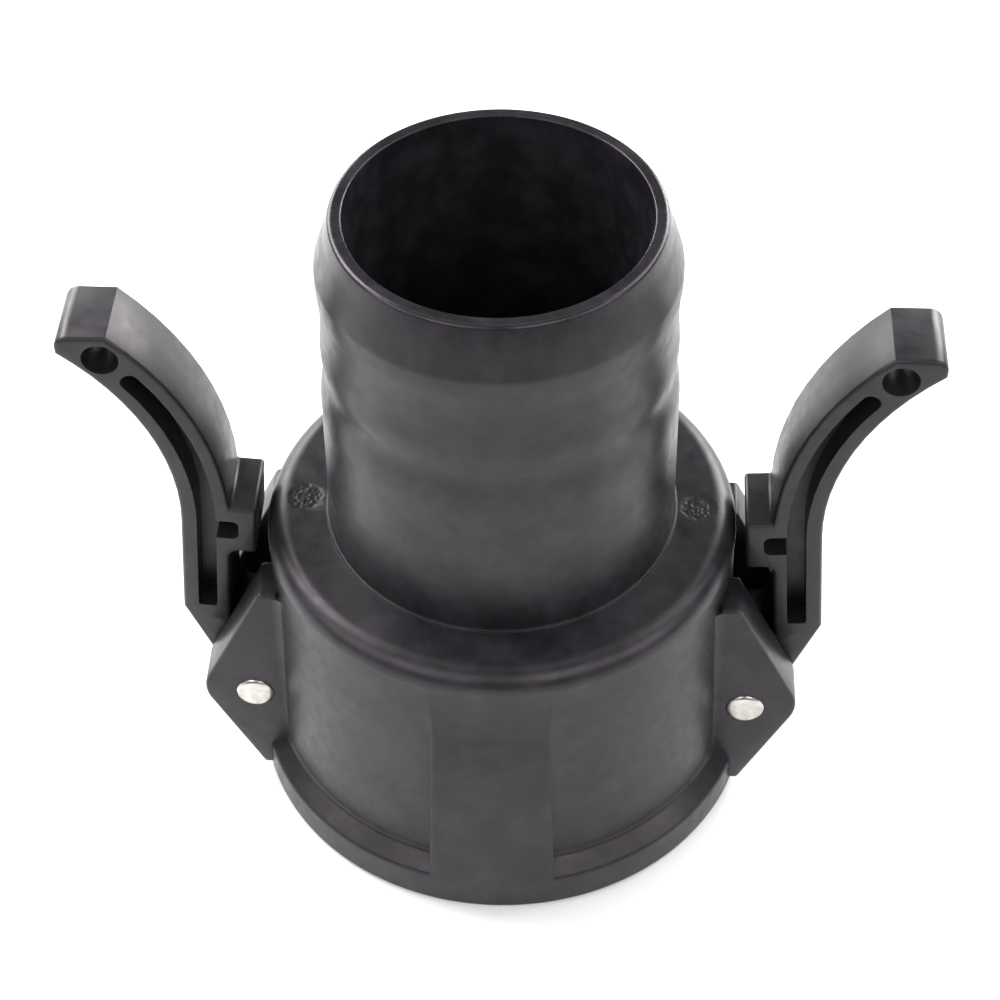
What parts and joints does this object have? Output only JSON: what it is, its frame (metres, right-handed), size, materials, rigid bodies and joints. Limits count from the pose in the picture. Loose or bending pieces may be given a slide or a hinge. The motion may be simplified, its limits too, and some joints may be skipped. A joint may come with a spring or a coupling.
{
  "type": "camlock hose fitting",
  "caption": "Plastic cam-lever hose coupler: a female quick-coupling socket with a seal ring and pinned cam levers beside a barbed hose tail.",
  "frame": {"origin": "centre of the mouth face that the coupler stands on", "axes": "+Z along the bore, from the mouth to the hose tail; +X towards the right-hand lever; +Y along the pins, away from the camera"},
  "size_m": [0.1288, 0.081, 0.1092],
  "materials": {
    "body_plastic": "black glass-filled polypropylene, satin, finely mottled as moulded",
    "lever_plastic": "black polypropylene, satin",
    "pin_steel": "plain stainless steel with domed ends",
    "seal_rubber": "matt black nitrile rubber"
  },
  "bodies": {
    "body": {"coupler_body": "body_plastic", "gasket": "seal_rubber", "pivot_pin_right": "pin_steel", "pivot_pin_left": "pin_steel"},
    "lever_right": {"cam_lever_right": "lever_plastic"},
    "lever_left": {"cam_lever_left": "lever_plastic"}
  },
  "joints": [
    {"name": "right_lever_hinge", "type": "hinge", "parent": "body", "child": "lever_right", "pos_m": [0.0395, 0, 0.0197], "axis": [0, 1, 0], "range_deg": [0, 110]},
    {"name": "left_lever_hinge", "type": "hinge", "parent": "body", "child": "lever_left", "pos_m": [-0.0395, 0, 0.0197], "axis": [0, -1, 0], "range_deg": [0, 110]}
  ]
}
